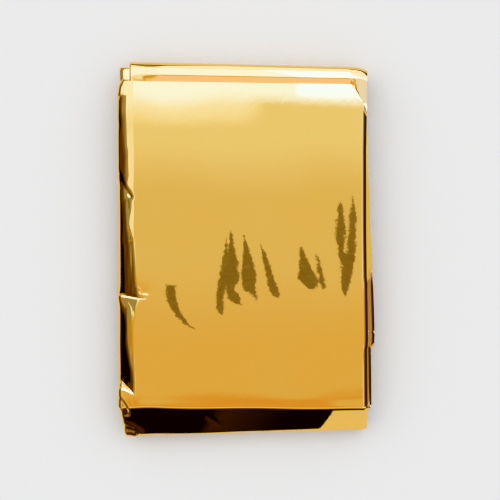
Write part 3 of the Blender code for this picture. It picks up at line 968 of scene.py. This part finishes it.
def arm_shade(arm, along, across, ragged, colour):
    """The colour with a dark arm over it."""
    points = named("x y half", *arm)
    down = [math.degrees(point.y / CAMERA_OVER) for point in points]
    low, high = min(down), max(down)
    stops = [((high - place) / (high - low), (point.x / PLACE_RANGE + 0.5, point.half / HALF_RANGE, 0.0, 1.0))
             for point, place in zip(points, down)]
    way = along.node("ShaderNodeMapRange", inputs={"Value": along, "From Min": high, "From Max": low})
    read = way.node("ShaderNodeValToRGB", {"stops": stops}, {"Fac": way})
    middle, half = read.node("ShaderNodeSeparateColor", inputs={0: read}).others(("Red", "Green"))
    place = across.maths("TANGENT", across * (math.pi / 180)) * CAMERA_OVER
    aside = place.maths("ABSOLUTE", place - (middle - 0.5) * PLACE_RANGE)
    edge = aside - half * HALF_RANGE + (ragged - 0.5) * ARM_RAGGED
    inside = (1 - edge.rise(-ARM_EDGE, ARM_EDGE)) * half.rise(0.0, ARM_TIP)
    return inside.mixed(colour, ragged.mixed(*ARM_LIGHTS))


def studio_world():
    """The room's light by direction. The camera itself sees a plain pale backdrop."""
    world = bpy.data.worlds.new("studio")
    world.use_nodes = True
    world.cycles.sampling_method = "NONE"
    tree = world.node_tree
    tree.nodes.clear()
    towards = Shade(tree).node("ShaderNodeTexCoord", output="Generated")
    x, y, z = towards.node("ShaderNodeSeparateXYZ", inputs={0: towards}).others("XYZ")
    along = x.maths("ARCTAN2", y, z) * (180 / math.pi)
    across = x.maths("ARCTAN2", x, z) * (180 / math.pi)
    colour = ROOM
    for zone in ZONES:
        colour = zone_light(zone, along, across, colour)
    stretched = x.node("ShaderNodeCombineXYZ", inputs={0: across * RAGGED_ACROSS, 1: along * RAGGED_ALONG})
    ragged = x.node("ShaderNodeTexNoise", {"noise_dimensions": "2D"},
                    {"Vector": stretched, "Scale": 1.0, "Detail": 2.0})
    for arm in ARMS:
        colour = arm_shade(arm, along, across, ragged, colour)
    room = colour.node("ShaderNodeBackground", inputs={"Color": colour})
    dome = z.rise(0.0, 1.0) * DOME_UP + y.rise(*DOME_EDGE) * DOME_NORTH + DOME_LEAST
    soft = colour.node("ShaderNodeBackground", inputs={"Color": (1.0, 1.0, 1.0, 1.0), "Strength": dome})
    backdrop = colour.node("ShaderNodeBackground", inputs={"Color": (*BACKDROP, 1.0)})
    seen = colour.node("ShaderNodeLightPath", output="Is Camera Ray")
    matt = colour.node("ShaderNodeLightPath", output="Is Diffuse Ray")
    both = colour.node("ShaderNodeMixShader", inputs={0: matt, 1: room, 2: soft})
    both = colour.node("ShaderNodeMixShader", inputs={0: seen, 1: both, 2: backdrop})
    colour.node("ShaderNodeOutputWorld", inputs={"Surface": both})
    return world


def film_material(settings):
    """Gold metallised film, with its fine crinkle."""
    material = bpy.data.materials.new("gold_film")
    material.use_nodes = True
    tree = material.node_tree
    tree.nodes.clear()
    place = Shade(tree).node("ShaderNodeTexCoord", output="Object")
    broad = place.node("ShaderNodeTexNoise", inputs={"Vector": place, "Scale": 60.0, "Detail": 2.0})
    fine = place.node("ShaderNodeTexNoise", inputs={"Vector": place, "Scale": 260.0, "Detail": 2.0})
    bump = place.node("ShaderNodeBump", inputs={"Height": fine, "Strength": 0.006, "Distance": 0.0003})
    colour = broad.mixed(settings.colour, settings.worn_colour)
    shader = place.node("ShaderNodeBsdfPrincipled", inputs={
        "Base Color": colour, "Metallic": 1.0, "Roughness": settings.roughness, "Normal": bump})
    place.node("ShaderNodeOutputMaterial", inputs={"Surface": shader})
    return material


class FoilSheetSettings(bpy.types.PropertyGroup):
    """The film's finish."""

    colour: bpy.props.FloatVectorProperty(
        name="Film colour", description="Colour of the metallised film", subtype="COLOR", size=3,
        min=0.0, max=1.0, default=(0.98, 0.60, 0.14))
    worn_colour: bpy.props.FloatVectorProperty(
        name="Worn colour", description="Colour where the film is rubbed thinner", subtype="COLOR", size=3,
        min=0.0, max=1.0, default=(0.975, 0.615, 0.155))
    roughness: bpy.props.FloatProperty(
        name="Roughness", description="How blurred the film's mirror image is", subtype="FACTOR",
        min=0.0, max=1.0, default=0.012)


class FoilStageSettings(bpy.types.PropertyGroup):
    """The floor and the camera."""

    floor_size: bpy.props.FloatProperty(
        name="Floor size", description="Side of the floor", unit="LENGTH", default=40.0)
    floor_colour: bpy.props.FloatVectorProperty(
        name="Floor colour", description="Colour of the pale floor", subtype="COLOR", size=3,
        min=0.0, max=1.0, default=(0.86, 0.86, 0.86))
    camera_height: bpy.props.FloatProperty(
        name="Camera height", description="Height of the camera over the floor", unit="LENGTH", default=0.482)
    camera_x: bpy.props.FloatProperty(
        name="Camera X", description="Place of the camera across the packet", unit="LENGTH", default=0.0015)
    camera_y: bpy.props.FloatProperty(
        name="Camera Y", description="Place of the camera along the packet", unit="LENGTH", default=-0.0007)
    lens: bpy.props.FloatProperty(
        name="Lens", description="Focal length in millimetres", default=100.0)


class FOIL_OT_sheet(bpy.types.Operator):
    """Adds the folded film sheet"""

    bl_idname = "foil.sheet"
    bl_label = "Film sheet"

    def execute(self, context):
        settings = context.scene.foil_sheet
        rows = whole_path()
        net = doubled(mid_surface(rows))
        plain = {place for place, row in enumerate(rows) if row.part in HIDDEN
                 or row.part == "second" and row.y < SECOND_SHOWN}
        sheet = bpy.data.objects.new("film_sheet", net_mesh("film_sheet", net, plain))
        context.scene.collection.objects.link(sheet)
        sheet.data.materials.append(film_material(settings))
        wall = sheet.modifiers.new("film_thickness", "SOLIDIFY")
        wall.thickness = FILM * MM
        wall.offset = 0.0
        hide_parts("foil_blanket")
        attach(sheet, "root")
        return {"FINISHED"}


class FOIL_OT_stage(bpy.types.Operator):
    """Adds the floor, the room's light and the camera"""

    bl_idname = "foil.stage"
    bl_label = "Floor, light and camera"

    def execute(self, context):
        settings = context.scene.foil_stage
        made = bmesh.new()
        bmesh.ops.create_grid(made, x_segments=1, y_segments=1, size=settings.floor_size / 2)
        mesh = bpy.data.meshes.new("floor")
        made.to_mesh(mesh)
        made.free()
        floor = bpy.data.objects.new("floor", mesh)
        context.scene.collection.objects.link(floor)
        material = bpy.data.materials.new("pale_floor")
        material.use_nodes = True
        shader = material.node_tree.nodes["Principled BSDF"]
        shader.inputs["Base Color"].default_value = (*settings.floor_colour, 1.0)
        shader.inputs["Roughness"].default_value = 0.9
        shader.inputs["Specular IOR Level"].default_value = 0.1
        mesh.materials.append(material)
        context.scene.world = studio_world()
        camera = bpy.data.cameras.new("camera")
        camera.lens = settings.lens
        camera.sensor_width = 36.0
        camera.clip_start = 0.01
        camera.clip_end = 100.0
        stand = bpy.data.objects.new("camera", camera)
        stand.location = (settings.camera_x, settings.camera_y, settings.camera_height)
        context.scene.collection.objects.link(stand)
        context.scene.camera = stand
        context.scene.view_settings.view_transform = "Khronos PBR Neutral"
        context.scene.view_settings.look = "None"
        return {"FINISHED"}


class FOIL_PT_panel(bpy.types.Panel):
    """The pieces of the foil blanket"""

    bl_idname = "FOIL_PT_panel"
    bl_label = "Foil blanket"
    bl_space_type = "VIEW_3D"
    bl_region_type = "UI"
    bl_category = "Foil blanket"

    def draw(self, context):
        for settings, operator in (("foil_sheet", FOIL_OT_sheet), ("foil_stage", FOIL_OT_stage)):
            box = self.layout.box()
            group = getattr(context.scene, settings)
            for name in group.bl_rna.properties.keys():
                if name not in ("rna_type", "name"):
                    box.prop(group, name)
            box.operator(operator.bl_idname)


CLASSES = (FoilSheetSettings, FoilStageSettings, FOIL_OT_sheet, FOIL_OT_stage, FOIL_PT_panel)


def register():
    for found in CLASSES:
        bpy.utils.register_class(found)
    bpy.types.Scene.foil_sheet = bpy.props.PointerProperty(type=FoilSheetSettings)
    bpy.types.Scene.foil_stage = bpy.props.PointerProperty(type=FoilStageSettings)


def unregister():
    del bpy.types.Scene.foil_stage
    del bpy.types.Scene.foil_sheet
    for found in reversed(CLASSES):
        bpy.utils.unregister_class(found)


def main():
    """Builds the blanket and its stage."""
    register()
    bpy.ops.foil.stage()
    bpy.ops.foil.sheet()


if __name__ == "__main__":
    main()
